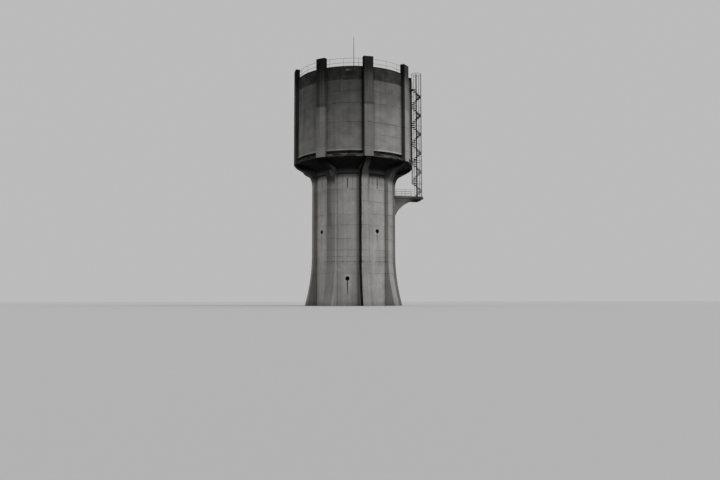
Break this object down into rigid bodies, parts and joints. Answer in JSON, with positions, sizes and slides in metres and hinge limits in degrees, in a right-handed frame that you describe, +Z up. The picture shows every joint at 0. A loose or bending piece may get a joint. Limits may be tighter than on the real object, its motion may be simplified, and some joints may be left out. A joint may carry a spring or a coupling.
{
  "type": "water tower",
  "caption": "Ribbed round concrete water tower with a flared neck, a buttressed tank, a bracketed platform and a caged spiral stair.",
  "frame": {"origin": "centre of the shaft's foot, on the underside of the ground floor slab", "axes": "+Z up along the tower's axis, +X towards the platform and the spiral stair"},
  "size_m": [18.58, 16.8, 38.27],
  "materials": {
    "concrete_shaft": "weathered board-marked concrete, light grey with streaks",
    "concrete_tank": "weathered concrete, dark at the rim and on the buttress heads",
    "concrete_neck": "stained dark concrete",
    "steelwork": "weathered galvanised and painted steel, matt"
  },
  "bodies": {
    "root": {"shaft_wall_1": "concrete_shaft", "shaft_wall_2": "concrete_shaft", "shaft_wall_3": "concrete_shaft", "shaft_wall_4": "concrete_shaft", "shaft_wall_5": "concrete_shaft", "shaft_wall_6": "concrete_shaft", "shaft_wall_7": "concrete_shaft", "shaft_wall_8": "concrete_shaft", "shaft_rib_1": "concrete_shaft", "shaft_rib_2": "concrete_shaft", "shaft_rib_3": "concrete_shaft", "shaft_rib_4": "concrete_shaft", "shaft_rib_5": "concrete_shaft", "shaft_rib_6": "concrete_shaft", "shaft_rib_7": "concrete_shaft", "shaft_rib_8": "concrete_shaft", "ground_floor": "concrete_shaft", "upper_floor": "concrete_shaft", "platform_bracket": "concrete_shaft", "platform_slab": "concrete_shaft", "neck_shell": "concrete_neck", "tank_floor": "concrete_neck", "ring_beam": "concrete_neck", "tank_wall_1": "concrete_tank", "tank_wall_2": "concrete_tank", "tank_wall_3": "concrete_tank", "tank_wall_4": "concrete_tank", "tank_wall_5": "concrete_tank", "tank_wall_6": "concrete_tank", "tank_wall_7": "concrete_tank", "tank_wall_8": "concrete_tank", "buttress_1": "concrete_tank", "buttress_2": "concrete_tank", "buttress_3": "concrete_tank", "buttress_4": "concrete_tank", "buttress_5": "concrete_tank", "buttress_6": "concrete_tank", "buttress_7": "concrete_tank", "buttress_8": "concrete_tank", "roof": "concrete_tank", "roof_railing": "steelwork", "lightning_rod": "steelwork", "platform_railing_right": "steelwork", "platform_railing_left": "steelwork", "stair_cage": "steelwork", "top_landing": "steelwork", "landing_railing": "steelwork", "stair_flight_1": "steelwork", "stair_flight_2": "steelwork", "stair_flight_3": "steelwork", "stair_flight_4": "steelwork"}
  },
  "joints": []
}
